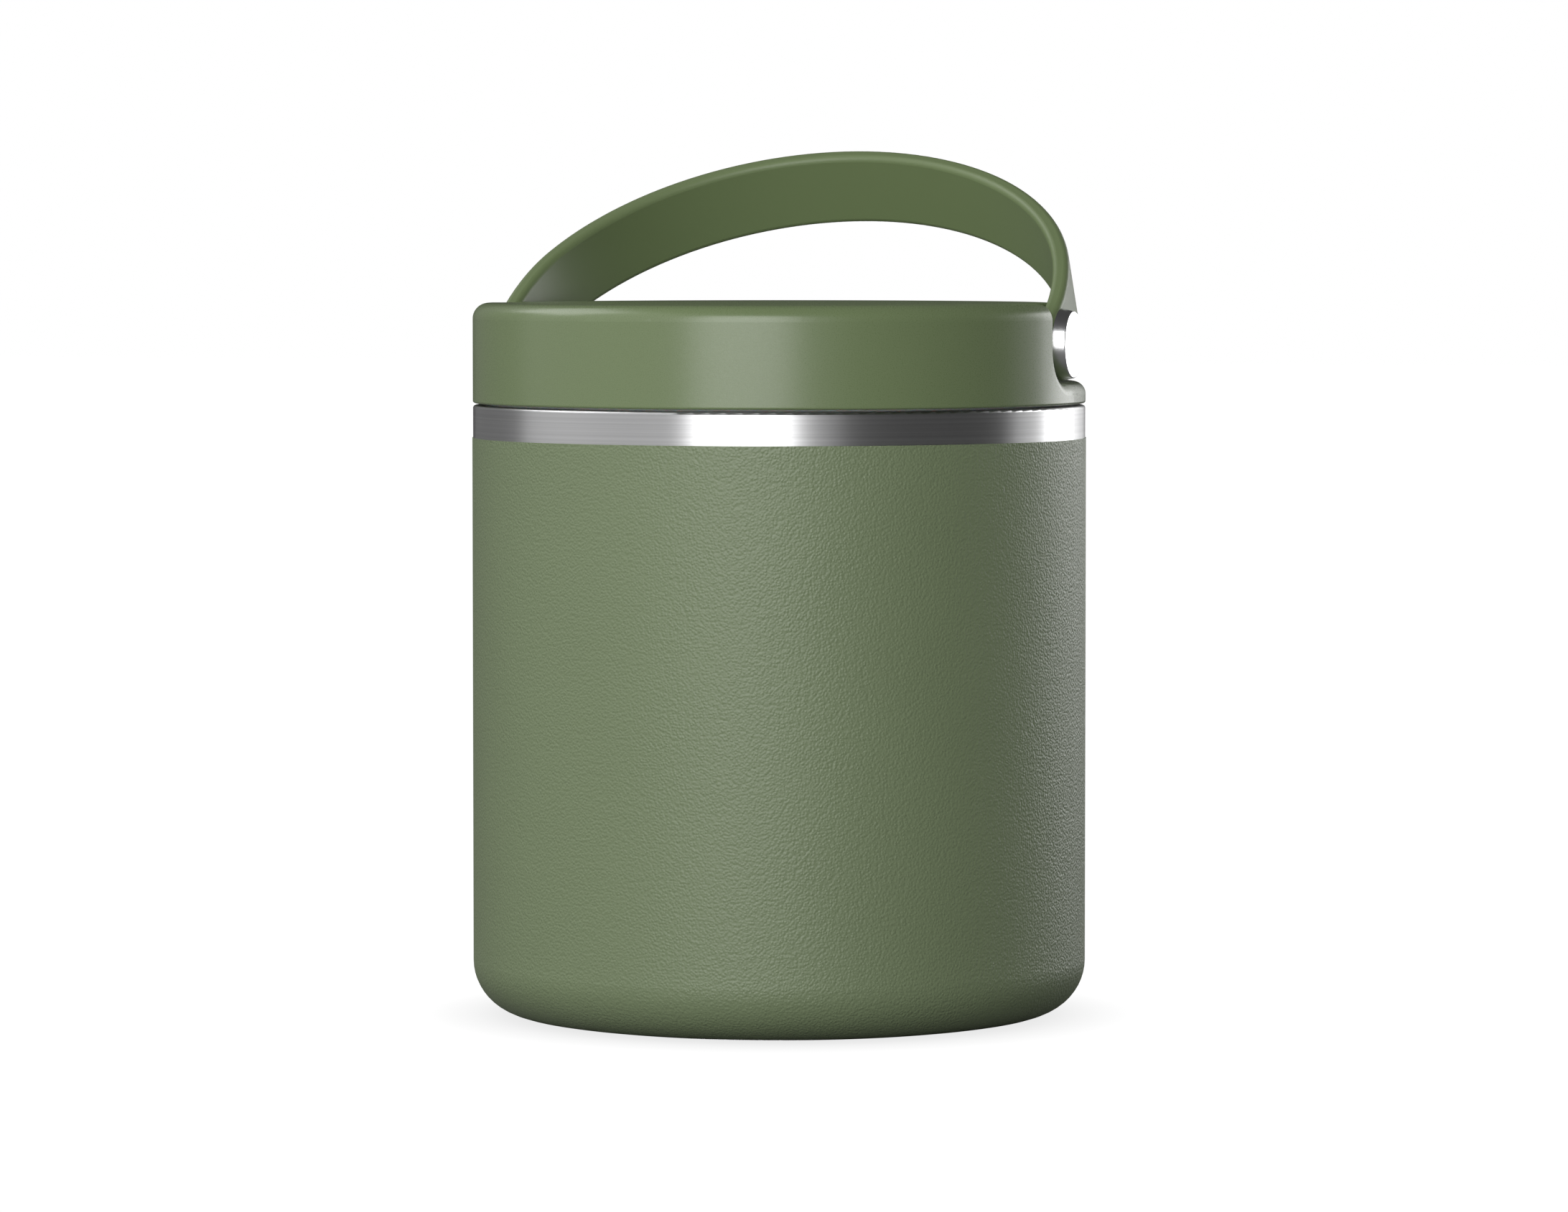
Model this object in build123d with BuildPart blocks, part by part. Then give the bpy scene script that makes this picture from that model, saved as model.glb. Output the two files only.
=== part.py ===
from build123d import *

import math
import os

from OCP.BRepFilletAPI import BRepFilletAPI_MakeFillet

# A double-walled food jar with a screw lid and a swinging strap handle.
# Millimetres. The jar stands on z = 0 with its axis on Z. The handle pivots about a line
# parallel to X, and leans towards +Y.

# ---- jar body ----
BODY_RADIUS = 54.0  # outside of the coated wall
RIM_HEIGHT = 107.4  # table to the mouth's rim
CORNER_RADIUS = 9.45  # where the coated wall turns under
BAND_HEIGHT = 5.7  # bare steel between the coat and the rim
COAT_THICKNESS = 0.15
COAT_LIFT = 0.25  # coat's underside above the table
COAT_TUCK = 0.5  # how far the coat runs in past the corner
SHELL_WALL = 0.8
FOOT_INSET = 1.05  # flat of the shell between its corner and the base cap's weld
VACUUM_GAP = 3.0  # between shell and liner
LINER_WALL = 0.6
FLOOR_HEIGHT = 8.0  # inside floor of the jar above the table
FLOOR_CORNER = 8.0
SEAM_RISE = 1.0  # floor's corner up to the weld between the liner's wall and base
RIM_ROUND = 0.45

# ---- base cap, port and getter ----
BASE_RECESS = 2.4  # height of the cap's middle above the table
FOOT_WIDTH = 2.5
STEP_RUN = 1.5  # slope of the step from the foot ring up to the recess
PORT_DIMPLE_RADIUS = 6.0
PORT_DIMPLE_RISE = 1.0
PORT_DIMPLE_RUN = 1.0
PORT_RADIUS = 0.9
BEAD_RADIUS = 2.2
BEAD_FOOT_RADIUS = 1.3
BEAD_DEPTH = 0.6
COVER_THICKNESS = 0.5
COVER_ROUND = 0.4
COVER_HEIGHT = 1.2
COVER_MARGIN = 0.8  # between the cover's edge and the cap's step
GETTER_RADIUS = 4.9
GETTER_HEIGHT = 1.9
GETTER_GAP = 0.1  # pill to its clip, and to the liner base above it
CLIP_WALL = 0.3
CLIP_FLANGE = 2.7

# ---- screw thread ----
THREAD_LEAD = 6.0
THREAD_TURNS = 1.3
THREAD_BASE = 2.4  # width of a ridge where it leaves its wall
THREAD_CREST = 1.0
NECK_THREAD_DEPTH = 1.15  # how far the neck's ridge stands in from the liner
PLUG_THREAD_DEPTH = 1.4  # how far the plug's ridge stands out
THREAD_TOP_GAP = 3.0  # rim down to the top of the neck's ridge
THREAD_CREST_GAP = 0.7  # neck's crest to the plug's wall
THREAD_ROOT = 0.25  # how deep each ridge is rooted in its wall

# ---- lid ----
LID_INSET = 0.1  # lid's wall in from the coated wall
LID_HEIGHT = 17.55
SEAM_GAP = 0.4  # rim to the lid's lower edge
LID_WALL = 2.2
LID_TOP_WALL = 2.4
LID_TOP_ROUND = 2.8
LID_FOOT_ROUND = 0.4
LEDGE_RISE = 3.8  # lid's lower edge to the shelf that the folded handle lies on
LEDGE_WALL = 1.8
DRUM_GAP = 0.6  # strap's inside to the lid's wall behind it
NEST_FRONT = 9.8  # nest's front wall ahead of the pivot line
NEST_CORNER = 2.0
NEST_SWEEP = 7.2  # nest's front wall curves into the ledge
NEST_EDGE_ROUND = 0.5  # round on the nest's edges, which grows down the sweep
LEDGE_ROUND = 2.2  # to this along the shelf
GASKET_GAP = 0.05
GASKET_HEIGHT = 0.85
GASKET_WIDTH = 1.8
GASKET_ROUND = 0.42
FLANGE_GAP = 0.2  # plug's flange to the lid's skirt
PLUG_WALL = 2.2
PLUG_FLOOR = 2.0
PLUG_TAIL = 2.0  # plug's wall below its ridge
PLUG_CHAMFER = 1.5
FOAM_GAP = 0.3
FOAM_BOSS_GAP = 0.6  # foam to the handle's bosses

# ---- handle ----
PIVOT_RISE = 10.4  # lid's lower edge to the pivot line
STRAP_INSET = 2.3  # strap's outside in from the lid's wall
STRAP_OVERHANG = 1.1  # half-ellipse's height beyond the lid's radius
STRAP_LEG = 2.3
STRAP_WIDTH = 13.8
STRAP_END_GAP = 0.4  # strap's round ends to the shelf
STRAP_TAPER = 20.0  # length over which the ends widen
STRAP_THICKNESS = 3.0
STRAP_ROUND = 1.0
HANDLE_LEAN = 60.0  # degrees back from upright, as stored

# ---- pivots ----
SHANK_RADIUS = 3.0
BUSH_CLEARANCE = 0.06  # running fit of the bush on the shank
BUSH_WALL = 0.94
BUTTON_SEAT_RADIUS = 6.3
BUTTON_TAPER = 13.0  # degrees that its wall leans in towards its face
BUTTON_ROUND = 0.25
BUTTON_GAP = 0.12  # button to strap
WASHER_RADIUS = 5.6
WASHER_THICKNESS = 0.4
WASHER_GAP = 0.1  # washer to strap
BOSS_RADIUS = 5.8
BOSS_LENGTH = 6.6
INSERT_WALL = 0.9
INSERT_LENGTH = 5.0
STUD_RADIUS = 1.55
STUD_CLEARANCE = 0.05
STUD_LENGTH = 4.6

# ---- worked out from the above: body ----
SHELL_RADIUS = BODY_RADIUS - COAT_THICKNESS
SHELL_INSIDE = SHELL_RADIUS - SHELL_WALL
LINER_OUTSIDE = SHELL_INSIDE - VACUUM_GAP
LINER_INSIDE = LINER_OUTSIDE - LINER_WALL
SHELL_BOTTOM = COAT_LIFT + COAT_THICKNESS
COAT_TOP = RIM_HEIGHT - BAND_HEIGHT
CORNER_X = BODY_RADIUS - CORNER_RADIUS
CORNER_Z = COAT_LIFT + CORNER_RADIUS
COAT_END = CORNER_X - COAT_TUCK
FOOT_RADIUS = CORNER_X - FOOT_INSET
LINER_SEAM = FLOOR_HEIGHT + FLOOR_CORNER + SEAM_RISE
FLOOR_UNDERSIDE = FLOOR_HEIGHT - LINER_WALL

# ---- worked out: lid ----
LID_RADIUS = BODY_RADIUS - LID_INSET
LID_BOTTOM = RIM_HEIGHT + SEAM_GAP
LID_TOP = LID_BOTTOM + LID_HEIGHT
LID_CEILING = LID_TOP - LID_TOP_WALL
LEDGE_HEIGHT = LID_BOTTOM + LEDGE_RISE
LEDGE_UNDERSIDE = LEDGE_HEIGHT - LEDGE_WALL
SKIRT_INSIDE = LID_RADIUS - LID_WALL

# ---- worked out: handle and pivots ----
PIVOT_HEIGHT = LID_BOTTOM + PIVOT_RISE
STRAP_HALF_SPAN = LID_RADIUS - STRAP_INSET
STRAP_INSIDE = STRAP_HALF_SPAN - STRAP_THICKNESS
STRAP_RISE = LID_RADIUS + STRAP_OVERHANG
STRAP_END_RADIUS = PIVOT_RISE - LEDGE_RISE - STRAP_END_GAP
DRUM_RADIUS = STRAP_INSIDE - DRUM_GAP
DRUM_INSIDE = DRUM_RADIUS - LID_WALL
BOSS_FACE = STRAP_INSIDE - WASHER_GAP - WASHER_THICKNESS
BUTTON_SEAT = STRAP_HALF_SPAN + BUTTON_GAP
BUTTON_FACE = LID_RADIUS  # flush with the lid's wall
BUSH_INSIDE = SHANK_RADIUS + BUSH_CLEARANCE
BUSH_RADIUS = BUSH_INSIDE + BUSH_WALL
INSERT_INSIDE = STUD_RADIUS + STUD_CLEARANCE
INSERT_RADIUS = INSERT_INSIDE + INSERT_WALL

# ---- worked out: thread, plug and foam ----
THREAD_HEIGHT = THREAD_LEAD * THREAD_TURNS
THREAD_LOW = RIM_HEIGHT - THREAD_TOP_GAP - THREAD_BASE / 2 - THREAD_HEIGHT
FLANGE_BOTTOM = RIM_HEIGHT + GASKET_GAP + GASKET_HEIGHT
FLANGE_RADIUS = SKIRT_INSIDE - FLANGE_GAP
PLUG_RADIUS = LINER_INSIDE - NECK_THREAD_DEPTH - THREAD_CREST_GAP
PLUG_INSIDE = PLUG_RADIUS - PLUG_WALL
PLUG_BOTTOM = THREAD_LOW - THREAD_BASE / 2 - PLUG_TAIL
FOAM_NECK_RADIUS = BOSS_FACE - BOSS_LENGTH - FOAM_BOSS_GAP

OUTSIDE = 2 * BODY_RADIUS  # well beyond everything
NEAR = 0.1  # how closely edges are picked by their place
LEAN = math.radians(HANDLE_LEAN)
SIDES = {"right": 1, "left": -1}


def save(part, name):
    """Labels a finished piece and writes it under its node's name."""
    part.label = name
    export_step(part, f"parts/{name}.step")


def thread_ridge(wall_radius, depth, start_angle, low):
    """A helical ridge on a round wall; a negative depth stands inwards."""
    root_radius = wall_radius - math.copysign(THREAD_ROOT, depth)
    root_half = THREAD_BASE / 2 + THREAD_ROOT * (THREAD_BASE - THREAD_CREST) / 2 / abs(depth)
    with BuildPart() as ridge:
        with BuildLine() as route:
            Helix(THREAD_LEAD, THREAD_HEIGHT, wall_radius, center=(0, 0, low))
        with BuildSketch(Plane.XZ):
            with BuildLine():
                Polyline(
                    (root_radius, low - root_half),
                    (wall_radius + depth, low - THREAD_CREST / 2),
                    (wall_radius + depth, low + THREAD_CREST / 2),
                    (root_radius, low + root_half),
                    close=True,
                )
            make_face()
        sweep(path=route.line, is_frenet=True)
    return ridge.part.rotate(Axis.Z, start_angle)


def side_plane(side, distance):
    """A plane square to the pivot line, facing outwards, with its origin on the line."""
    return Plane(origin=(side * distance, 0, PIVOT_HEIGHT), x_dir=(0, 1, 0), z_dir=(side, 0, 0))


os.makedirs("parts", exist_ok=True)

# ---- outer shell: straight wall, round corner and a short flat foot to the weld ----
with BuildPart() as outer_shell:
    with BuildSketch(Plane.XZ):
        with BuildLine():
            Line((FOOT_RADIUS, SHELL_BOTTOM), (CORNER_X, SHELL_BOTTOM))
            CenterArc((CORNER_X, CORNER_Z), CORNER_RADIUS - COAT_THICKNESS, 270, 90)
            Line((SHELL_RADIUS, CORNER_Z), (SHELL_RADIUS, RIM_HEIGHT - RIM_ROUND))
            CenterArc((SHELL_RADIUS - RIM_ROUND, RIM_HEIGHT - RIM_ROUND), RIM_ROUND, 0, 90)
            Polyline(
                (SHELL_RADIUS - RIM_ROUND, RIM_HEIGHT),
                (SHELL_INSIDE, RIM_HEIGHT),
                (SHELL_INSIDE, CORNER_Z),
            )
            CenterArc((CORNER_X, CORNER_Z), CORNER_RADIUS - COAT_THICKNESS - SHELL_WALL, 0, -90)
            Polyline(
                (CORNER_X, SHELL_BOTTOM + SHELL_WALL),
                (FOOT_RADIUS, SHELL_BOTTOM + SHELL_WALL),
                (FOOT_RADIUS, SHELL_BOTTOM),
            )
        make_face()
    revolve(axis=Axis.Z)
save(outer_shell.part, "outer_shell")

# ---- powder coat: a thin even skin on the shell, with a sharp upper line ----
with BuildPart() as powder_coat:
    with BuildSketch(Plane.XZ):
        with BuildLine():
            Line((COAT_END, COAT_LIFT), (CORNER_X, COAT_LIFT))
            CenterArc((CORNER_X, CORNER_Z), CORNER_RADIUS, 270, 90)
            Polyline(
                (BODY_RADIUS, CORNER_Z),
                (BODY_RADIUS, COAT_TOP),
                (SHELL_RADIUS, COAT_TOP),
                (SHELL_RADIUS, CORNER_Z),
            )
            CenterArc((CORNER_X, CORNER_Z), CORNER_RADIUS - COAT_THICKNESS, 0, -90)
            Polyline(
                (CORNER_X, SHELL_BOTTOM),
                (COAT_END, SHELL_BOTTOM),
                (COAT_END, COAT_LIFT),
            )
        make_face()
    revolve(axis=Axis.Z)
save(powder_coat.part, "powder_coat")

# ---- base cap: foot ring, step up to the recess, and a dimple with the port in its middle ----
step_top = FOOT_RADIUS - FOOT_WIDTH - STEP_RUN
port_z = BASE_RECESS + PORT_DIMPLE_RISE
with BuildPart() as outer_base:
    with BuildSketch(Plane.XZ):
        with BuildLine():
            Polyline(
                (FOOT_RADIUS, 0),
                (FOOT_RADIUS - FOOT_WIDTH, 0),
                (step_top, BASE_RECESS),
                (PORT_DIMPLE_RADIUS, BASE_RECESS),
                (PORT_DIMPLE_RADIUS - PORT_DIMPLE_RUN, port_z),
                (PORT_RADIUS, port_z),
            )
            offset(amount=SHELL_WALL, side=Side.RIGHT, kind=Kind.INTERSECTION)
        make_face()
    revolve(axis=Axis.Z)
save(outer_base.part, "outer_base")

# ---- glass bead: fills the port and spreads over it from below ----
with BuildPart() as vacuum_seal:
    with BuildSketch(Plane.XZ):
        with BuildLine():
            Polyline(
                (0, port_z - BEAD_DEPTH),
                (BEAD_FOOT_RADIUS, port_z - BEAD_DEPTH),
                (BEAD_RADIUS, port_z),
                (PORT_RADIUS, port_z),
                (PORT_RADIUS, port_z + SHELL_WALL),
                (0, port_z + SHELL_WALL),
                close=True,
            )
        make_face()
    revolve(axis=Axis.Z)
save(vacuum_seal.part, "vacuum_seal")

# ---- base cover: shallow steel dish pressed up against the base cap ----
cover_radius = step_top - COVER_MARGIN
with BuildPart() as base_cover:
    with BuildSketch(Plane.XY.offset(COVER_HEIGHT)):
        Circle(cover_radius)
    extrude(amount=BASE_RECESS - COVER_HEIGHT)
    with BuildSketch(Plane.XY.offset(COVER_HEIGHT + COVER_THICKNESS)):
        Circle(cover_radius - COVER_THICKNESS)
    extrude(until=Until.LAST, mode=Mode.SUBTRACT)
    fillet(base_cover.edges().group_by(Axis.Z)[0], COVER_ROUND)
save(base_cover.part, "base_cover")

# ---- liner base: a drawn cup that ends at the weld to the liner's wall ----
floor_x = LINER_INSIDE - FLOOR_CORNER
floor_z = FLOOR_HEIGHT + FLOOR_CORNER
with BuildPart() as inner_base:
    with BuildSketch(Plane.XZ):
        with BuildLine():
            Line((0, FLOOR_UNDERSIDE), (floor_x, FLOOR_UNDERSIDE))
            CenterArc((floor_x, floor_z), FLOOR_CORNER + LINER_WALL, 270, 90)
            Polyline(
                (LINER_OUTSIDE, floor_z),
                (LINER_OUTSIDE, LINER_SEAM),
                (LINER_INSIDE, LINER_SEAM),
                (LINER_INSIDE, floor_z),
            )
            CenterArc((floor_x, floor_z), FLOOR_CORNER, 0, -90)
            Polyline((floor_x, FLOOR_HEIGHT), (0, FLOOR_HEIGHT), (0, FLOOR_UNDERSIDE))
        make_face()
    revolve(axis=Axis.Z)
save(inner_base.part, "inner_base")

# ---- getter clip and pill: held under the liner base, in the vacuum space ----
clip_outside = GETTER_RADIUS + GETTER_GAP + CLIP_WALL
clip_bottom = FLOOR_UNDERSIDE - GETTER_GAP - GETTER_HEIGHT - CLIP_WALL
with BuildPart() as getter_clip:
    with BuildSketch(Plane.XY.offset(clip_bottom)):
        Circle(clip_outside)
    extrude(amount=FLOOR_UNDERSIDE - clip_bottom)
    with BuildSketch(Plane.XY.offset(FLOOR_UNDERSIDE - CLIP_WALL)):
        Circle(clip_outside + CLIP_FLANGE)
    extrude(amount=CLIP_WALL)
    with BuildSketch(Plane.XY.offset(clip_bottom + CLIP_WALL)):
        Circle(clip_outside - CLIP_WALL)
    extrude(until=Until.LAST, mode=Mode.SUBTRACT)
save(getter_clip.part, "getter_clip")

with BuildPart() as getter:
    with BuildSketch(Plane.XY.offset(clip_bottom + CLIP_WALL)):
        Circle(GETTER_RADIUS)
    extrude(amount=GETTER_HEIGHT)
save(getter.part, "getter")

# ---- inner liner: straight wall, rim flange out to the shell, and the neck's ridge ----
with BuildPart() as inner_liner:
    with BuildSketch(Plane.XZ):
        with BuildLine():
            Line((LINER_INSIDE, LINER_SEAM), (LINER_INSIDE, RIM_HEIGHT - RIM_ROUND))
            CenterArc((LINER_INSIDE + RIM_ROUND, RIM_HEIGHT - RIM_ROUND), RIM_ROUND, 180, -90)
            Polyline(
                (LINER_INSIDE + RIM_ROUND, RIM_HEIGHT),
                (SHELL_INSIDE, RIM_HEIGHT),
                (SHELL_INSIDE, RIM_HEIGHT - LINER_WALL),
                (LINER_OUTSIDE, RIM_HEIGHT - LINER_WALL),
                (LINER_OUTSIDE, LINER_SEAM),
                (LINER_INSIDE, LINER_SEAM),
            )
        make_face()
    revolve(axis=Axis.Z)
    add(thread_ridge(LINER_INSIDE, -NECK_THREAD_DEPTH, 0, THREAD_LOW))
save(inner_liner.part, "inner_liner")

# ---- plug: flanged cup with a ridge half a lead away from the neck's ridge ----
with BuildPart() as lid_plug:
    with BuildSketch(Plane.XZ):
        with BuildLine():
            Polyline(
                (0, PLUG_BOTTOM),
                (PLUG_RADIUS - PLUG_CHAMFER, PLUG_BOTTOM),
                (PLUG_RADIUS, PLUG_BOTTOM + PLUG_CHAMFER),
                (PLUG_RADIUS, FLANGE_BOTTOM),
                (FLANGE_RADIUS, FLANGE_BOTTOM),
                (FLANGE_RADIUS, LEDGE_UNDERSIDE),
                (PLUG_INSIDE, LEDGE_UNDERSIDE),
                (PLUG_INSIDE, PLUG_BOTTOM + PLUG_FLOOR),
                (0, PLUG_BOTTOM + PLUG_FLOOR),
                close=True,
            )
        make_face()
    revolve(axis=Axis.Z)
    add(thread_ridge(PLUG_RADIUS, PLUG_THREAD_DEPTH, 180, THREAD_LOW))
save(lid_plug.part, "lid_plug")

# ---- gasket: flat silicone ring with a rounded lower face ----
gasket_inside = LINER_INSIDE + RIM_ROUND
with BuildPart() as lid_gasket:
    with BuildSketch(Plane.XY.offset(FLANGE_BOTTOM - GASKET_HEIGHT)):
        Circle(gasket_inside + GASKET_WIDTH)
        Circle(gasket_inside, mode=Mode.SUBTRACT)
    extrude(amount=GASKET_HEIGHT)
    fillet(lid_gasket.edges().group_by(Axis.Z)[0], GASKET_ROUND)
save(lid_gasket.part, "lid_gasket")

# ---- foam puck: wide in the plug, narrower where it passes the handle's bosses ----
foam_bottom = PLUG_BOTTOM + PLUG_FLOOR + FOAM_GAP
with BuildPart() as lid_insulation:
    with BuildSketch(Plane.XY.offset(foam_bottom)):
        Circle(PLUG_INSIDE - FOAM_GAP)
    extrude(amount=LEDGE_HEIGHT - foam_bottom)
    with BuildSketch(Plane.XY.offset(LEDGE_HEIGHT)):
        Circle(FOAM_NECK_RADIUS)
    extrude(amount=LID_CEILING - FOAM_GAP - LEDGE_HEIGHT)
save(lid_insulation.part, "lid_insulation")

# ---- handle's nest: the space cut from the lid behind the front wall and round the drum ----
with BuildPart() as nest:
    with BuildSketch(Plane.XY.offset(LEDGE_HEIGHT)) as nest_plan:
        with Locations((0, -NEST_FRONT)):
            Rectangle(2 * OUTSIDE, OUTSIDE, align=(Align.CENTER, Align.MIN))
        Circle(DRUM_RADIUS, mode=Mode.SUBTRACT)
        fillet(nest_plan.vertices().filter_by(lambda v: abs(v.X) < DRUM_RADIUS), NEST_CORNER)
    extrude(amount=OUTSIDE)
    with BuildSketch(Plane.YZ.offset(-OUTSIDE)):
        with BuildLine():
            Line((OUTSIDE, LEDGE_HEIGHT), (NEST_SWEEP - NEST_FRONT, LEDGE_HEIGHT))
            sweep_z = LEDGE_HEIGHT + NEST_SWEEP
            CenterArc((NEST_SWEEP - NEST_FRONT, sweep_z), NEST_SWEEP, 270, -90)
            Polyline(
                (-NEST_FRONT, sweep_z),
                (-NEST_FRONT, LID_TOP + OUTSIDE),
                (OUTSIDE, LID_TOP + OUTSIDE),
                (OUTSIDE, LEDGE_HEIGHT),
            )
        make_face()
    extrude(amount=2 * OUTSIDE, mode=Mode.INTERSECT)

# ---- lid: solid outside first, then the nest, the hollow and the bosses ----
with BuildPart() as lid_hollow:
    with BuildSketch(Plane.XY.offset(LID_BOTTOM)):
        Circle(SKIRT_INSIDE)
    extrude(amount=LID_CEILING - LID_BOTTOM)
    with BuildSketch(Plane.XY.offset(LEDGE_UNDERSIDE)):
        with Locations((0, -NEST_FRONT - LID_WALL)):
            Rectangle(2 * OUTSIDE, OUTSIDE, align=(Align.CENTER, Align.MIN))
        Circle(DRUM_INSIDE, mode=Mode.SUBTRACT)
    extrude(amount=OUTSIDE, mode=Mode.SUBTRACT)


def on_lid_wall(edge):
    """True for the edges that the nest leaves on the lid's outer wall, below its rounded top."""
    middle = edge.position_at(0.5)
    on_wall = abs(math.hypot(middle.X, middle.Y) - LID_RADIUS) < NEAR
    return on_wall and LEDGE_HEIGHT - NEAR < middle.Z < LID_TOP - LID_TOP_ROUND - NEAR


def round_nest_edges(lid, start):
    """Rounds the loop of smooth edges that holds the start edge, more at the shelf than above it."""
    rounding = BRepFilletAPI_MakeFillet(lid.wrapped)
    rounding.Add(start.wrapped)
    for number in range(1, rounding.NbEdges(1) + 1):
        edge = Edge(rounding.Edge(1, number))
        heights = (edge.position_at(0).Z, edge.position_at(1).Z)
        first, last = (LEDGE_ROUND if z < LEDGE_HEIGHT + NEAR else NEST_EDGE_ROUND for z in heights)
        rounding.SetRadius(first, last, 1, number)
    return Compound(rounding.Shape()).solid()


with BuildPart() as lid_shell:
    with BuildSketch(Plane.XY.offset(LID_BOTTOM)):
        Circle(LID_RADIUS)
    extrude(amount=LID_TOP - LID_BOTTOM)
    fillet(lid_shell.edges().group_by(Axis.Z)[-1], LID_TOP_ROUND)
    fillet(lid_shell.edges().group_by(Axis.Z)[0], LID_FOOT_ROUND)
    add(nest.part, mode=Mode.SUBTRACT)
    add(round_nest_edges(lid_shell.part, lid_shell.edges().filter_by(on_lid_wall)[0]), mode=Mode.REPLACE)
    add(lid_hollow.part, mode=Mode.SUBTRACT)
    for side in SIDES.values():
        with BuildSketch(side_plane(side, BOSS_FACE)):
            Circle(BOSS_RADIUS)
        extrude(amount=-BOSS_LENGTH)
        with BuildSketch(side_plane(side, BOSS_FACE)):
            Circle(INSERT_RADIUS)
        extrude(amount=-INSERT_LENGTH, mode=Mode.SUBTRACT)
save(lid_shell.part, "lid_shell")

# ---- handle: a band bent to a half-ellipse, with round ends that widen into the grip ----
across = (0, math.cos(LEAN), -math.sin(LEAN))
bow_plane = Plane(
    origin=(0, 0, PIVOT_HEIGHT),
    x_dir=(1, 0, 0),
    z_dir=(0, -math.cos(LEAN), math.sin(LEAN)),
)
width_plane = Plane(origin=(0, 0, PIVOT_HEIGHT), x_dir=across, z_dir=(1, 0, 0))


def bow(half_span, rise):
    """The half-ellipse on its two straight legs, closed below the pivot line."""
    foot = -STRAP_END_RADIUS
    Line((half_span, foot), (half_span, STRAP_LEG))
    EllipticalCenterArc((0, STRAP_LEG), half_span, rise, 0, arc_size=180)
    Polyline((-half_span, STRAP_LEG), (-half_span, foot), (half_span, foot))


with BuildPart() as handle_strap:
    with BuildSketch(bow_plane):
        with BuildLine():
            bow(STRAP_HALF_SPAN, STRAP_RISE)
        make_face()
        with BuildLine():
            bow(STRAP_INSIDE, STRAP_RISE - STRAP_THICKNESS)
        make_face(mode=Mode.SUBTRACT)
    extrude(amount=STRAP_WIDTH, both=True)
    with BuildSketch(width_plane.offset(-OUTSIDE)):
        with BuildLine():
            CenterArc((0, 0), STRAP_END_RADIUS, 180, 180)
            half = STRAP_WIDTH / 2
            for flip in (1, -1):
                end, wide = (flip * STRAP_END_RADIUS, 0), (flip * half, STRAP_TAPER)
                Spline(end, wide, tangents=((0, 1), (0, 1)))
            Polyline((half, STRAP_TAPER), (half, OUTSIDE), (-half, OUTSIDE), (-half, STRAP_TAPER))
        make_face()
    extrude(amount=2 * OUTSIDE, mode=Mode.INTERSECT)
    fillet(handle_strap.edges(), STRAP_ROUND)
    for side in SIDES.values():
        with BuildSketch(side_plane(side, STRAP_INSIDE - STRAP_THICKNESS)):
            Circle(BUSH_RADIUS)
        extrude(amount=3 * STRAP_THICKNESS, mode=Mode.SUBTRACT)
save(handle_strap.part, "handle_strap")

# ---- pivot pieces, the same on both sides ----
for name, side in SIDES.items():
    with BuildPart() as bush:
        with BuildSketch(side_plane(side, STRAP_INSIDE)):
            Circle(BUSH_RADIUS)
            Circle(BUSH_INSIDE, mode=Mode.SUBTRACT)
        extrude(amount=STRAP_THICKNESS)
    save(bush.part, f"pivot_bush_{name}")

    with BuildPart() as washer:
        with BuildSketch(side_plane(side, BOSS_FACE)):
            Circle(WASHER_RADIUS)
            Circle(BUSH_INSIDE, mode=Mode.SUBTRACT)
        extrude(amount=WASHER_THICKNESS)
    save(washer.part, f"pivot_washer_{name}")

    with BuildPart() as insert:
        with BuildSketch(side_plane(side, BOSS_FACE)):
            Circle(INSERT_RADIUS)
            Circle(INSERT_INSIDE, mode=Mode.SUBTRACT)
        extrude(amount=-INSERT_LENGTH)
    save(insert.part, f"stud_insert_{name}")

    with BuildPart() as button:
        with BuildSketch(side_plane(side, BUTTON_SEAT)):
            Circle(BUTTON_SEAT_RADIUS)
        extrude(amount=BUTTON_FACE - BUTTON_SEAT, taper=BUTTON_TAPER)
        fillet(button.edges().sort_by(Axis.X)[-1 if side > 0 else 0], BUTTON_ROUND)
        with BuildSketch(side_plane(side, BOSS_FACE)):
            Circle(SHANK_RADIUS)
        extrude(amount=BUTTON_SEAT - BOSS_FACE)
        with BuildSketch(side_plane(side, BOSS_FACE)):
            Circle(STUD_RADIUS)
        extrude(amount=-STUD_LENGTH)
    save(button.part, f"pivot_button_{name}")
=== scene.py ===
import math

import bpy
from bpy.props import FloatProperty, FloatVectorProperty, PointerProperty
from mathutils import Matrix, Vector

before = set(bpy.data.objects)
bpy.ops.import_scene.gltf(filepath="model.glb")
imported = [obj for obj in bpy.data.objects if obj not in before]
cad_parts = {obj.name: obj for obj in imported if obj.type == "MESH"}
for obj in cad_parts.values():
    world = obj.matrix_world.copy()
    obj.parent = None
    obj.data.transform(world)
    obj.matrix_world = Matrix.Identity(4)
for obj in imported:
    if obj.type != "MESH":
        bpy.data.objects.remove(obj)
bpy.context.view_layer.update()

bl_info = {
    "name": "Insulated food jar",
    "version": (1, 0, 0),
    "blender": (4, 5, 0),
    "location": "3D View > Sidebar > Food jar",
    "description": "Finishes for a powder-coated food jar with a strap handle, and its studio",
    "category": "Object",
}

MM = 0.001

# How much a colour darkens and lightens over a surface, as shares of it
MOULDED_SHADES = (0.97, 1.03)
BRUSHED_SHADES = (0.70, 1.22)
TUMBLED_SHADES = (0.88, 1.10)

# How far the roughness runs below and above its middle
MOULDED_SHINE = (-0.06, 0.06)
BRUSHED_SHINE = (-0.05, 0.07)
TUMBLED_SHINE = (-0.06, 0.08)

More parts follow.
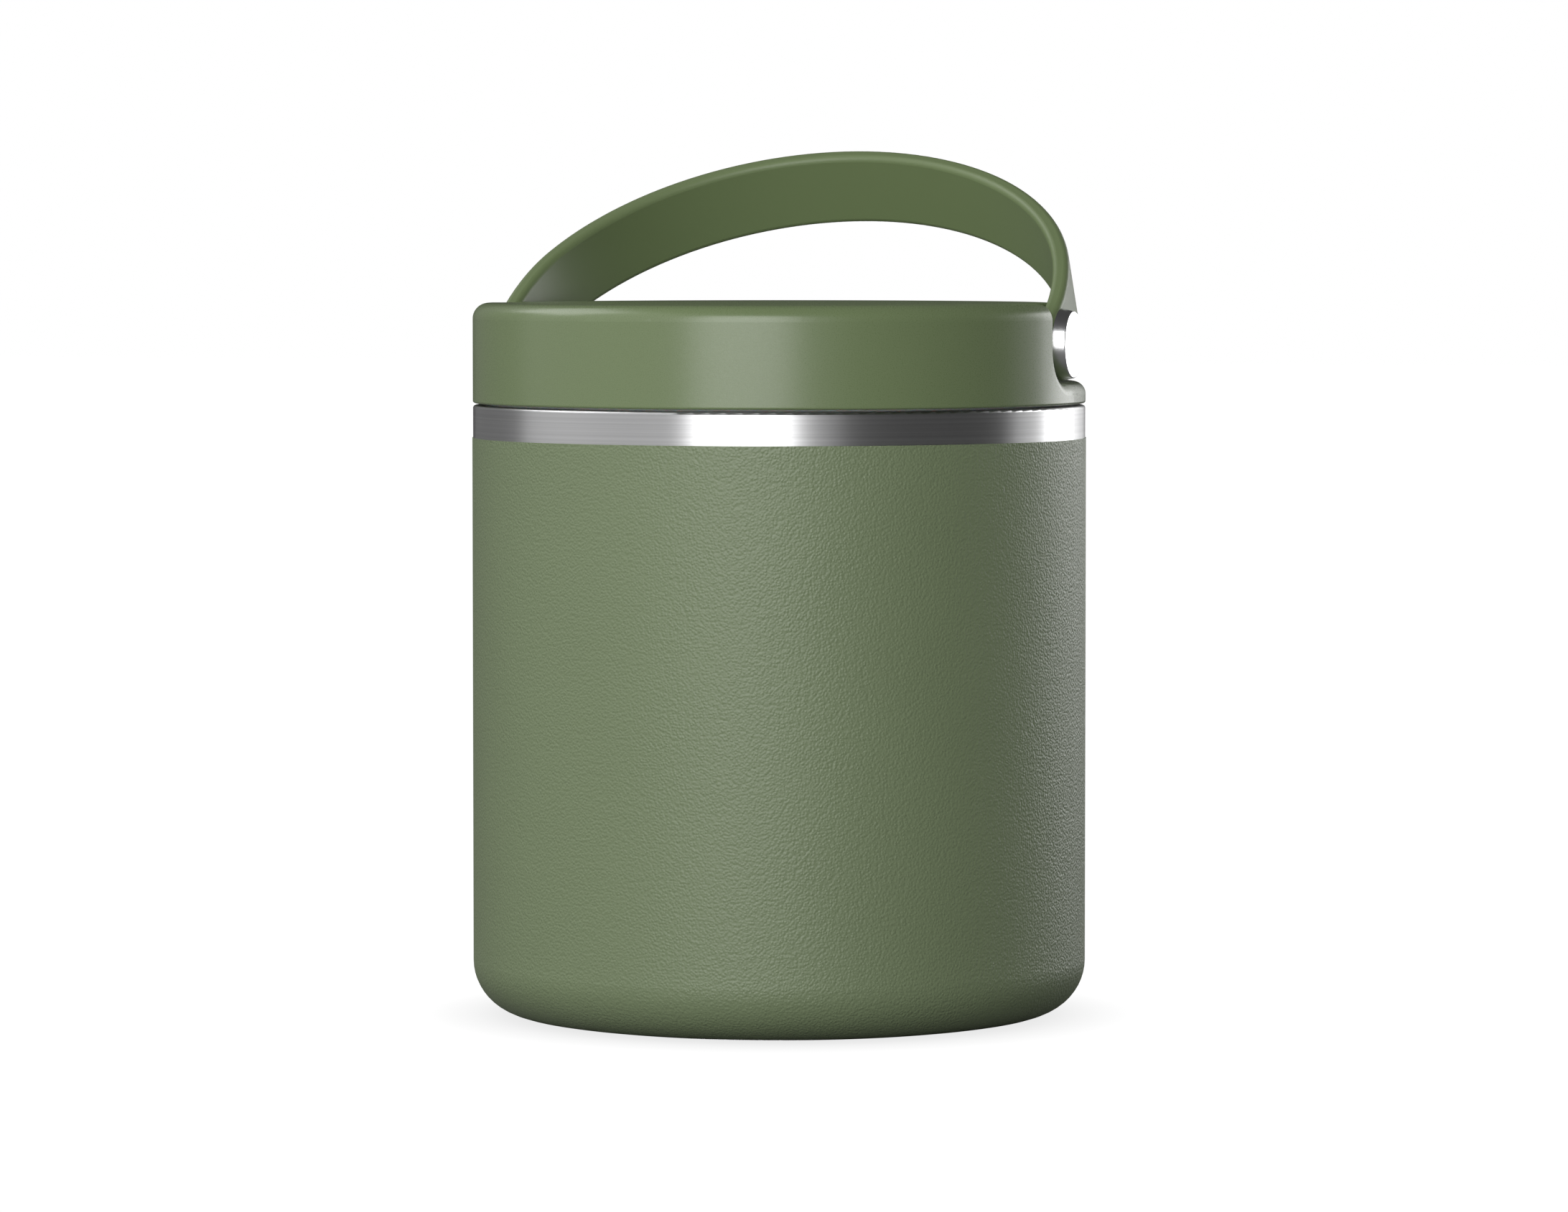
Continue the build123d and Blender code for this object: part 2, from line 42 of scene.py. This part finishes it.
BRUSH_RUN = 0.4  # metres that a brushed line goes on before it fades
COAT_WRINKLE = 0.4  # height of the coat's finer unevenness, against its cells
COAT_SHINE = (0.44, 0.50)

AIM_HEIGHT = 71.9 * MM
AIM_ASIDE = 0.85 * MM
FLOOR_WIDTH = 12.0
FLOOR_GREY = 0.21
# Painted shadow: ambient occlusion dims the floor's glow round the jar's foot
PAINTED_SHADOW_REACH = 12 * MM  # how far round the jar's foot the floor's painted shadow reaches
# Glow strength of the floor inside its painted shadow and in the open
PAINTED_SHADOW_STRENGTHS = (0.80, 1.02)
FILL_STRENGTH = 0.055
LEANING_HEIGHT = 1.2  # soft boxes higher than this lean down to the jar
LEANING_AIM = 0.1


# ---------------------------------------------------------------- settings


class JarFinish(bpy.types.PropertyGroup):
    """Colours and grain of the jar's pieces."""

    coat_colour: FloatVectorProperty(
        name="Powder coat",
        description="Colour of the coat on the body",
        subtype="COLOR",
        size=3,
        min=0.0,
        max=1.0,
        default=(0.150, 0.192, 0.103),
    )
    lid_colour: FloatVectorProperty(
        name="Lid",
        description="Colour of the moulded lid",
        subtype="COLOR",
        size=3,
        min=0.0,
        max=1.0,
        default=(0.140, 0.185, 0.089),
    )
    strap_colour: FloatVectorProperty(
        name="Handle",
        description="Colour of the moulded strap handle",
        subtype="COLOR",
        size=3,
        min=0.0,
        max=1.0,
        default=(0.135, 0.180, 0.082),
    )
    steel_colour: FloatVectorProperty(
        name="Steel",
        description="Colour of the bare steel",
        subtype="COLOR",
        size=3,
        min=0.0,
        max=1.0,
        default=(0.62, 0.62, 0.625),
    )
    plug_colour: FloatVectorProperty(
        name="Plug",
        description="Colour of the plug under the lid",
        subtype="COLOR",
        size=3,
        min=0.0,
        max=1.0,
        default=(0.022, 0.022, 0.022),
    )
    coat_grain: FloatProperty(
        name="Coat grain",
        description="Distance from one bump of the coat to the next",
        unit="LENGTH",
        precision=5,
        min=0.0001,
        default=0.00045,
    )
    coat_depth: FloatProperty(
        name="Coat depth",
        description="Height of the coat's bumps",
        unit="LENGTH",
        precision=6,
        min=0.0,
        default=0.0001,
    )
    moulded_grain: FloatProperty(
        name="Moulded grain",
        description="Distance from one spark of the moulded texture to the next",
        unit="LENGTH",
        precision=5,
        min=0.0001,
        default=0.00028,
    )
    brush_pitch: FloatProperty(
        name="Brush pitch",
        description="Distance from one line of the brushed steel to the next",
        unit="LENGTH",
        precision=5,
        min=0.00005,
        default=0.00022,
    )


class JarStudio(bpy.types.PropertyGroup):
    """Where the camera stands and how bright the lights are."""

    camera_turn: FloatProperty(
        name="Camera turn",
        description="Camera's turn round the jar from straight in front",
        subtype="ANGLE",
        default=math.radians(18.2),
    )
    camera_distance: FloatProperty(
        name="Camera distance",
        description="Camera's distance from the jar's axis",
        unit="LENGTH",
        default=1.215,
    )
    camera_height: FloatProperty(
        name="Camera height",
        description="Camera's height above the table",
        unit="LENGTH",
        default=0.1370,
    )
    camera_lens: FloatProperty(
        name="Lens",
        description="Focal length of the camera",
        unit="CAMERA",
        default=158.4,
    )
    key_power: FloatProperty(
        name="Key power",
        description="Radiance of the soft box in front",
        min=0.0,
        default=4.9,
    )
    side_power: FloatProperty(
        name="Side power",
        description="Radiance of the weak wall of light on the left",
        min=0.0,
        default=0.85,
    )
    high_power: FloatProperty(
        name="High power",
        description="Radiance of the raised soft box behind on the left",
        min=0.0,
        default=3.0,
    )
    rim_power: FloatProperty(
        name="Rim power",
        description="Radiance of the soft box behind on the right",
        min=0.0,
        default=3.8,
    )


# ---------------------------------------------------------------- node tools


def add_node(tree, kind, x=0, y=0, **settings):
    """A shader node, with its sockets or properties set by name."""
    node = tree.nodes.new(kind)
    node.location = (x, y)
    for name, value in settings.items():
        if hasattr(node, name):
            setattr(node, name, value)
        else:
            node.inputs[name].default_value = value
    return node


def feed(tree, source, target):
    """Links an output to an input."""
    tree.links.new(source, target)


def new_group(name, inputs, outputs):
    """An empty node group with float inputs and outputs: its tree, its input node and its output node."""
    tree = bpy.data.node_groups.new(name, "ShaderNodeTree")
    for label, default in inputs:
        socket = tree.interface.new_socket(label, in_out="INPUT", socket_type="NodeSocketFloat")
        socket.default_value = default
    for label in outputs:
        tree.interface.new_socket(label, in_out="OUTPUT", socket_type="NodeSocketFloat")
    return tree, add_node(tree, "NodeGroupInput", -900), add_node(tree, "NodeGroupOutput", 900)


def math_node(tree, operation, first, second, x=0, y=0):
    """A Math node fed by sockets or plain numbers; gives its output socket."""
    node = add_node(tree, "ShaderNodeMath", x, y)
    node.operation = operation
    for socket, value in zip(node.inputs, (first, second)):
        if isinstance(value, (int, float)):
            socket.default_value = value
        elif value is not None:
            feed(tree, value, socket)
    return node.outputs[0]


def use_group(material, name, **values):
    """Places a shared group in a material with its own values."""
    node = add_node(material.node_tree, "ShaderNodeGroup", -500)
    node.node_tree = bpy.data.node_groups[name]
    for label, value in values.items():
        node.inputs[label].default_value = value
    return node


def new_material(name):
    """A material holding only its Principled BSDF; gives the material, its tree and the shader."""
    material = bpy.data.materials.new(name)
    material.use_nodes = True
    tree = material.node_tree
    tree.nodes.clear()
    shader = add_node(tree, "ShaderNodeBsdfPrincipled", 300)
    output = add_node(tree, "ShaderNodeOutputMaterial", 600)
    feed(tree, shader.outputs["BSDF"], output.inputs["Surface"])
    return material, tree, shader


def bump(tree, shader, height, distance):
    """Raises the surface by a height between 0 and 1, times a distance in metres."""
    node = add_node(tree, "ShaderNodeBump", 0, -300, Strength=1.0, Distance=distance)
    feed(tree, height, node.inputs["Height"])
    feed(tree, node.outputs["Normal"], shader.inputs["Normal"])


def tone(tree, shader, factor, dark, light):
    """Base colour between two colours."""
    mix = add_node(tree, "ShaderNodeMix", 0, 200)
    mix.data_type = "RGBA"
    mix.inputs["A"].default_value = (*dark, 1)
    mix.inputs["B"].default_value = (*light, 1)
    feed(tree, factor, mix.inputs["Factor"])
    feed(tree, mix.outputs["Result"], shader.inputs["Base Color"])


def between(tree, socket, factor, low, high):
    """Feeds a socket with a value that runs from low to high as the factor runs from 0 to 1."""
    node = add_node(tree, "ShaderNodeMapRange", 0, 0)
    node.inputs["To Min"].default_value = low
    node.inputs["To Max"].default_value = high
    feed(tree, factor, node.inputs["Value"])
    feed(tree, node.outputs["Result"], socket)


def shade(colour, factor):
    """A colour made darker or lighter."""
    return tuple(min(1.0, channel * factor) for channel in colour)


def shades(colour, factors):
    """A colour's darker and lighter ends."""
    return [shade(colour, factor) for factor in factors]


def shine(roughness, spread):
    """The roughness's lower and upper ends."""
    return [roughness + step for step in spread]


def dress(material, *nodes):
    """Gives CAD nodes their finish."""
    for name in nodes:
        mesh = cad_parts[name].data
        mesh.materials.clear()
        mesh.materials.append(material)


# ---------------------------------------------------------------- shared effects


def make_orange_peel():
    """The pebbled skin of powder coat: rounded cells with finer unevenness over them."""
    tree, given, result = new_group(
        "orange peel", [("Grain", 0.0006), ("Wrinkle", 0.35)], ["Height", "Mottle"]
    )
    place = add_node(tree, "ShaderNodeTexCoord", -900, -300)
    count = math_node(tree, "DIVIDE", 1.0, given.outputs["Grain"], -700)
    cells = add_node(tree, "ShaderNodeTexVoronoi", -400, 100)
    cells.feature = "SMOOTH_F1"
    cells.inputs["Smoothness"].default_value = 0.6
    wrinkles = add_node(tree, "ShaderNodeTexNoise", -400, -150, Detail=1.0)
    mottle = add_node(tree, "ShaderNodeTexNoise", -400, -400, Detail=3.0, Scale=45.0)
    fine = math_node(tree, "MULTIPLY", count, 1.3, -600, -150)
    for noise in (cells, wrinkles, mottle):
        feed(tree, place.outputs["Object"], noise.inputs["Vector"])
    feed(tree, count, cells.inputs["Scale"])
    feed(tree, fine, wrinkles.inputs["Scale"])
    small = math_node(tree, "MULTIPLY", wrinkles.outputs["Fac"], given.outputs["Wrinkle"], -150, -150)
    domes = math_node(tree, "SUBTRACT", 1.0, cells.outputs["Distance"], -150, 100)
    feed(tree, math_node(tree, "ADD", domes, small, 50), result.inputs["Height"])
    feed(tree, mottle.outputs["Fac"], result.inputs["Mottle"])


def make_moulded_grain():
    """The fine spark-eroded skin of moulded plastic."""
    tree, given, result = new_group(
        "moulded grain", [("Grain", 0.0003)], ["Height", "Spark", "Mottle"]
    )
    place = add_node(tree, "ShaderNodeTexCoord", -900, -300)
    count = math_node(tree, "DIVIDE", 1.0, given.outputs["Grain"], -700)
    grain = add_node(tree, "ShaderNodeTexNoise", -400, 100, Detail=2.0, Roughness=0.6)
    spark = add_node(tree, "ShaderNodeTexNoise", -400, -150, Detail=0.0)
    mottle = add_node(tree, "ShaderNodeTexNoise", -400, -400, Detail=2.0, Scale=30.0)
    for noise in (grain, spark, mottle):
        feed(tree, place.outputs["Object"], noise.inputs["Vector"])
    feed(tree, count, grain.inputs["Scale"])
    feed(tree, math_node(tree, "MULTIPLY", count, 1.7, -600, -150), spark.inputs["Scale"])
    feed(tree, grain.outputs["Fac"], result.inputs["Height"])
    feed(tree, spark.outputs["Fac"], result.inputs["Spark"])
    feed(tree, mottle.outputs["Fac"], result.inputs["Mottle"])


def make_turned_lines():
    """Fine lines round the jar's axis, as a lathe and a belt leave them on steel."""
    tree, given, result = new_group(
        "turned lines", [("Pitch", 0.0002), ("Run", 0.05)], ["Height", "Streak"]
    )
    place = add_node(tree, "ShaderNodeTexCoord", -1300)
    split = add_node(tree, "ShaderNodeSeparateXYZ", -1100)
    feed(tree, place.outputs["Object"], split.inputs[0])
    x, y, z = split.outputs
    x_square = math_node(tree, "MULTIPLY", x, x, -900, 200)
    y_square = math_node(tree, "MULTIPLY", y, y, -900, 50)
    radius = math_node(tree, "SQRT", math_node(tree, "ADD", x_square, y_square, -750, 150), None, -600)
    across = math_node(tree, "ADD", z, radius, -450)
    lines = math_node(tree, "DIVIDE", across, given.outputs["Pitch"], -300)
    along_x = math_node(tree, "DIVIDE", x, given.outputs["Run"], -300, 300)
    along_y = math_node(tree, "DIVIDE", y, given.outputs["Run"], -300, 150)
    for offset, factor, target, detail in ((0, 1.0, "Height", 3.0), (-300, 0.4, "Streak", 2.0)):
        spot = add_node(tree, "ShaderNodeCombineXYZ", 0, offset)
        feed(tree, along_x, spot.inputs[0])
        feed(tree, along_y, spot.inputs[1])
        feed(tree, math_node(tree, "MULTIPLY", lines, factor, -150, offset), spot.inputs[2])
        noise = add_node(tree, "ShaderNodeTexNoise", 250, offset, Scale=1.0, Detail=detail, Roughness=0.65)
        feed(tree, spot.outputs[0], noise.inputs["Vector"])
        feed(tree, noise.outputs["Fac"], result.inputs[target])


# ---------------------------------------------------------------- materials


def coated_steel(finish):
    """Olive powder coat with a pebbled skin."""
    material, tree, shader = new_material("powder coat")
    peel = use_group(material, "orange peel", Grain=finish.coat_grain, Wrinkle=COAT_WRINKLE)
    tone(tree, shader, peel.outputs["Mottle"], *shades(finish.coat_colour, MOULDED_SHADES))
    between(tree, shader.inputs["Roughness"], peel.outputs["Mottle"], *COAT_SHINE)
    bump(tree, shader, peel.outputs["Height"], finish.coat_depth)
    shader.inputs["Specular IOR Level"].default_value = 0.55
    return material


def moulded_plastic(name, colour, finish, roughness, depth, specular=0.5):
    """Satin moulded plastic with a fine sparkle."""
    material, tree, shader = new_material(name)
    grain = use_group(material, "moulded grain", Grain=finish.moulded_grain)
    tone(tree, shader, grain.outputs["Mottle"], *shades(colour, MOULDED_SHADES))
    between(tree, shader.inputs["Roughness"], grain.outputs["Spark"], *shine(roughness, MOULDED_SHINE))
    bump(tree, shader, grain.outputs["Height"], depth)
    shader.inputs["Specular IOR Level"].default_value = specular
    return material


def brushed_steel(name, finish, roughness, depth, brightness=1.0, anisotropy=0.75):
    """Steel with lines turned round the jar's axis."""
    material, tree, shader = new_material(name)
    lines = use_group(material, "turned lines", Pitch=finish.brush_pitch, Run=BRUSH_RUN)
    steel = shade(finish.steel_colour, brightness)
    tone(tree, shader, lines.outputs["Streak"], *shades(steel, BRUSHED_SHADES))
    between(tree, shader.inputs["Roughness"], lines.outputs["Height"], *shine(roughness, BRUSHED_SHINE))
    bump(tree, shader, lines.outputs["Height"], depth)
    shader.inputs["Metallic"].default_value = 1.0
    shader.inputs["Anisotropic"].default_value = anisotropy
    shader.inputs["Anisotropic Rotation"].default_value = 0.25
    around = add_node(tree, "ShaderNodeTangent", 0, -500)
    around.direction_type = "RADIAL"
    around.axis = "Z"
    feed(tree, around.outputs[0], shader.inputs["Tangent"])
    return material


def polished_steel(finish):
    """The buttons' steel, polished and then a little dulled."""
    material, tree, shader = new_material("polished steel")
    grain = use_group(material, "moulded grain", Grain=finish.moulded_grain)
    tone(tree, shader, grain.outputs["Mottle"], (0.72, 0.72, 0.73), (0.80, 0.80, 0.81))
    between(tree, shader.inputs["Roughness"], grain.outputs["Mottle"], 0.24, 0.30)
    bump(tree, shader, grain.outputs["Height"], 0.0005 * MM)
    shader.inputs["Metallic"].default_value = 1.0
    return material


def soft_rubber(finish):
    """The gasket's pale translucent silicone."""
    material, tree, shader = new_material("silicone")
    grain = use_group(material, "moulded grain", Grain=finish.moulded_grain)
    tone(tree, shader, grain.outputs["Mottle"], (0.55, 0.56, 0.54), (0.62, 0.63, 0.61))
    between(tree, shader.inputs["Roughness"], grain.outputs["Spark"], 0.38, 0.52)
    bump(tree, shader, grain.outputs["Height"], 0.002 * MM)
    shader.inputs["Subsurface Weight"].default_value = 0.3
    shader.inputs["Subsurface Scale"].default_value = 0.6 * MM
    return material


def plain_metal(name, colour, roughness, finish):
    """Small metal pieces that are tumbled, not polished."""
    material, tree, shader = new_material(name)
    grain = use_group(material, "moulded grain", Grain=finish.moulded_grain * 2)
    tone(tree, shader, grain.outputs["Mottle"], *shades(colour, TUMBLED_SHADES))
    between(tree, shader.inputs["Roughness"], grain.outputs["Spark"], *shine(roughness, TUMBLED_SHINE))
    bump(tree, shader, grain.outputs["Height"], 0.004 * MM)
    shader.inputs["Metallic"].default_value = 1.0
    return material


# ---------------------------------------------------------------- operators


class FinishEffects(bpy.types.Operator):
    """Build the node groups that several finishes share"""

    bl_idname = "food_jar.finish_effects"
    bl_label = "Shared effects"

    def execute(self, context):
        make_orange_peel()
        make_moulded_grain()
        make_turned_lines()
        return {"FINISHED"}


class FinishBody(bpy.types.Operator):
    """Coat the body and brush its bare band"""

    bl_idname = "food_jar.finish_body"
    bl_label = "Body"

    def execute(self, context):
        finish = context.scene.jar_finish
        dress(coated_steel(finish), "powder_coat")
        dress(brushed_steel("brushed band", finish, roughness=0.33, depth=0.0012 * MM), "outer_shell")
        return {"FINISHED"}


class FinishBase(bpy.types.Operator):
    """Finish the base cap, its cover and the seal behind it"""

    bl_idname = "food_jar.finish_base"
    bl_label = "Base"

    def execute(self, context):
        finish = context.scene.jar_finish
        base = brushed_steel(
            "turned base", finish, roughness=0.32, depth=0.002 * MM, brightness=0.9, anisotropy=0.4
        )
        dress(base, "outer_base", "base_cover")
        seal, tree, shader = new_material("seal glass")
        grain = use_group(seal, "moulded grain", Grain=finish.moulded_grain)
        tone(tree, shader, grain.outputs["Mottle"], (0.05, 0.06, 0.07), (0.08, 0.09, 0.10))
        shader.inputs["Roughness"].default_value = 0.12
        dress(seal, "vacuum_seal")
        return {"FINISHED"}


class FinishLiner(bpy.types.Operator):
    """Finish the liner and what the vacuum space holds"""

    bl_idname = "food_jar.finish_liner"
    bl_label = "Liner"

    def execute(self, context):
        finish = context.scene.jar_finish
        liner = brushed_steel("liner steel", finish, roughness=0.30, depth=0.0015 * MM, anisotropy=0.5)
        dress(liner, "inner_liner", "inner_base")
        dress(plain_metal("clip steel", finish.steel_colour, 0.3, finish), "getter_clip")
        dress(plain_metal("getter metal", (0.12, 0.12, 0.125), 0.6, finish), "getter")
        return {"FINISHED"}


class FinishLid(bpy.types.Operator):
    """Finish the lid, its plug, gasket and foam"""

    bl_idname = "food_jar.finish_lid"
    bl_label = "Lid"

    def execute(self, context):
        finish = context.scene.jar_finish
        lid = moulded_plastic("lid plastic", finish.lid_colour, finish, roughness=0.29, depth=0.007 * MM)
        dress(lid, "lid_shell")
        plug = moulded_plastic("plug plastic", finish.plug_colour, finish, roughness=0.42, depth=0.003 * MM)
        dress(plug, "lid_plug")
        dress(soft_rubber(finish), "lid_gasket")
        pale = (0.75, 0.74, 0.68)
        foam = moulded_plastic("foam", pale, finish, roughness=0.9, depth=0.05 * MM, specular=0.1)
        dress(foam, "lid_insulation")
        return {"FINISHED"}


class FinishHandle(bpy.types.Operator):
    """Finish the strap handle and the bushes in its ends"""

    bl_idname = "food_jar.finish_handle"
    bl_label = "Handle"

    def execute(self, context):
        finish = context.scene.jar_finish
        strap = moulded_plastic(
            "strap plastic", finish.strap_colour, finish, roughness=0.46, depth=0.002 * MM, specular=0.4
        )
        dress(strap, "handle_strap")
        bush = plain_metal("bush steel", finish.steel_colour, 0.25, finish)
        dress(bush, "pivot_bush_right", "pivot_bush_left")
        return {"FINISHED"}


class FinishPivots(bpy.types.Operator):
    """Finish the buttons, washers and inserts that the handle turns on"""

    bl_idname = "food_jar.finish_pivots"
    bl_label = "Pivots"

    def execute(self, context):
        finish = context.scene.jar_finish
        ivory = (0.62, 0.61, 0.56)
        washer = moulded_plastic("washer plastic", ivory, finish, roughness=0.45, depth=0.002 * MM)
        brass = plain_metal("brass", (0.65, 0.46, 0.18), 0.3, finish)
        for side in ("right", "left"):
            dress(washer, f"pivot_washer_{side}")
            dress(brass, f"stud_insert_{side}")
        dress(polished_steel(finish), "pivot_button_right", "pivot_button_left")
        return {"FINISHED"}


class SetStudio(bpy.types.Operator):
    """Set the pale floor, the soft lights and the camera"""

    bl_idname = "food_jar.set_studio"
    bl_label = "Studio"

    def execute(self, context):
        studio = context.scene.jar_studio
        set_camera(context.scene, studio)
        set_floor()
        set_world(context.scene)
        front = studio.camera_turn
        for name, side, distance, height, size, power in (
            ("key box", -13.5, 1.30, 0.62, (0.88, 1.30), studio.key_power),
            ("key edge", -12, 1.45, 0.62, (1.96, 1.40), 0.10 * studio.key_power),
            ("side wall", -77, 1.50, 1.15, (1.90, 2.70), studio.side_power),
            ("back wall", -134, 1.60, 0.70, (1.70, 1.60), 0.18 * studio.side_power),
            ("high box", -112, 1.40, 1.40, (1.30, 0.90), studio.high_power),
            ("rim box", 130, 1.30, 0.22, (0.60, 0.90), studio.rim_power),
            ("rim wall", 130, 1.60, 0.30, (2.10, 1.20), 0.26 * studio.rim_power),
        ):
            soft_box(name, front + math.radians(side), distance, height, size, power)
        context.scene.view_settings.view_transform = "Standard"
        return {"FINISHED"}


# ---------------------------------------------------------------- studio


def round_the_jar(turn, distance, height):
    """A point at a turn round the jar, counted from straight in front."""
    return Vector((distance * math.sin(turn), -distance * math.cos(turn), height))


def set_camera(scene, studio):
    """A long lens looking slightly down, with the jar a little left of the middle."""
    camera = bpy.data.objects.new("camera", bpy.data.cameras.new("camera"))
    scene.collection.objects.link(camera)
    turn = studio.camera_turn
    camera.location = round_the_jar(turn, studio.camera_distance, studio.camera_height)
    aside = Vector((math.cos(turn), math.sin(turn), 0)) * AIM_ASIDE
    aim = Vector((0, 0, AIM_HEIGHT)) + aside
    camera.rotation_mode = "QUATERNION"
    camera.rotation_quaternion = (aim - camera.location).to_track_quat("-Z", "Y")
    camera.data.lens = studio.camera_lens
    camera.data.sensor_width = 36.0
    camera.data.clip_start = 0.05
    camera.data.clip_end = 20.0
    scene.camera = camera


def soft_box(name, turn, distance, height, size, radiance):
    """A rectangular area light of the given radiance, standing upright or leaning to face the jar."""
    width, tall = size
    light = bpy.data.lights.new(name, "AREA")
    light.shape = "RECTANGLE"
    light.size, light.size_y = width, tall
    light.energy = math.pi * width * tall * radiance
    box = bpy.data.objects.new(name, light)
    bpy.context.scene.collection.objects.link(box)
    box.location = round_the_jar(turn, distance, height)
    box.rotation_mode = "QUATERNION"
    aim = Vector((0, 0, height if height < LEANING_HEIGHT else LEANING_AIM))
    box.rotation_quaternion = (aim - box.location).to_track_quat("-Z", "Y")
    box.visible_camera = False


def set_floor():
    """A floor that glows white for the camera but for a faint painted shadow where the jar stands, and
    throws little light up.
    """
    bpy.ops.mesh.primitive_plane_add(size=FLOOR_WIDTH)
    floor = bpy.context.object
    floor.name = "floor"
    material, tree, shader = new_material("floor")
    shader.inputs["Base Color"].default_value = (FLOOR_GREY, FLOOR_GREY, FLOOR_GREY, 1)
    shader.inputs["Roughness"].default_value = 0.9
    shader.inputs["Specular IOR Level"].default_value = 0.0
    # Painted shadow: ambient occlusion dims the floor's glow round the jar's foot
    painted_shadow = add_node(tree, "ShaderNodeAmbientOcclusion", -400, -300, Distance=PAINTED_SHADOW_REACH)
    seen = add_node(tree, "ShaderNodeEmission", 0, -300)
    between(tree, seen.inputs["Strength"], painted_shadow.outputs["AO"], *PAINTED_SHADOW_STRENGTHS)
    path = add_node(tree, "ShaderNodeLightPath", 0, 400)
    mix = add_node(tree, "ShaderNodeMixShader", 500, -100)
    feed(tree, path.outputs["Is Camera Ray"], mix.inputs[0])
    feed(tree, shader.outputs["BSDF"], mix.inputs[1])
    feed(tree, seen.outputs["Emission"], mix.inputs[2])
    feed(tree, mix.outputs[0], tree.nodes["Material Output"].inputs["Surface"])
    floor.data.materials.append(material)


def set_world(scene):
    """White behind the jar, and a dim even fill for everything else."""
    world = bpy.data.worlds.new("studio")
    scene.world = world
    world.use_nodes = True
    tree = world.node_tree
    tree.nodes.clear()
    seen = add_node(tree, "ShaderNodeBackground", 0, 100, Color=(1, 1, 1, 1), Strength=1.0)
    fill = add_node(tree, "ShaderNodeBackground", 0, -100, Color=(1, 1, 1, 1), Strength=FILL_STRENGTH)
    path = add_node(tree, "ShaderNodeLightPath", -200, 300)
    mix = add_node(tree, "ShaderNodeMixShader", 300)
    feed(tree, path.outputs["Is Camera Ray"], mix.inputs[0])
    feed(tree, fill.outputs[0], mix.inputs[1])
    feed(tree, seen.outputs[0], mix.inputs[2])
    feed(tree, mix.outputs[0], add_node(tree, "ShaderNodeOutputWorld", 500).inputs[0])


# ---------------------------------------------------------------- panel and registration


STEPS = (
    FinishEffects,
    FinishBody,
    FinishBase,
    FinishLiner,
    FinishLid,
    FinishHandle,
    FinishPivots,
    SetStudio,
)


class FoodJarPanel(bpy.types.Panel):
    """Lists the jar's finishes"""

    bl_idname = "VIEW3D_PT_food_jar"
    bl_label = "Food jar"
    bl_space_type = "VIEW_3D"
    bl_region_type = "UI"
    bl_category = "Food jar"

    def draw(self, context):
        for group in (context.scene.jar_finish, context.scene.jar_studio):
            column = self.layout.column()
            for name in group.bl_rna.properties.keys():
                if name not in ("rna_type", "name"):
                    column.prop(group, name)
        for step in STEPS:
            self.layout.operator(step.bl_idname)


CLASSES = (JarFinish, JarStudio, *STEPS, FoodJarPanel)


def register():
    for item in CLASSES:
        bpy.utils.register_class(item)
    bpy.types.Scene.jar_finish = PointerProperty(type=JarFinish)
    bpy.types.Scene.jar_studio = PointerProperty(type=JarStudio)


def unregister():
    del bpy.types.Scene.jar_studio
    del bpy.types.Scene.jar_finish
    for item in reversed(CLASSES):
        bpy.utils.unregister_class(item)


def main():
    register()
    for step in STEPS:
        group, name = step.bl_idname.split(".")
        getattr(getattr(bpy.ops, group), name)()


if __name__ == "__main__":
    main()
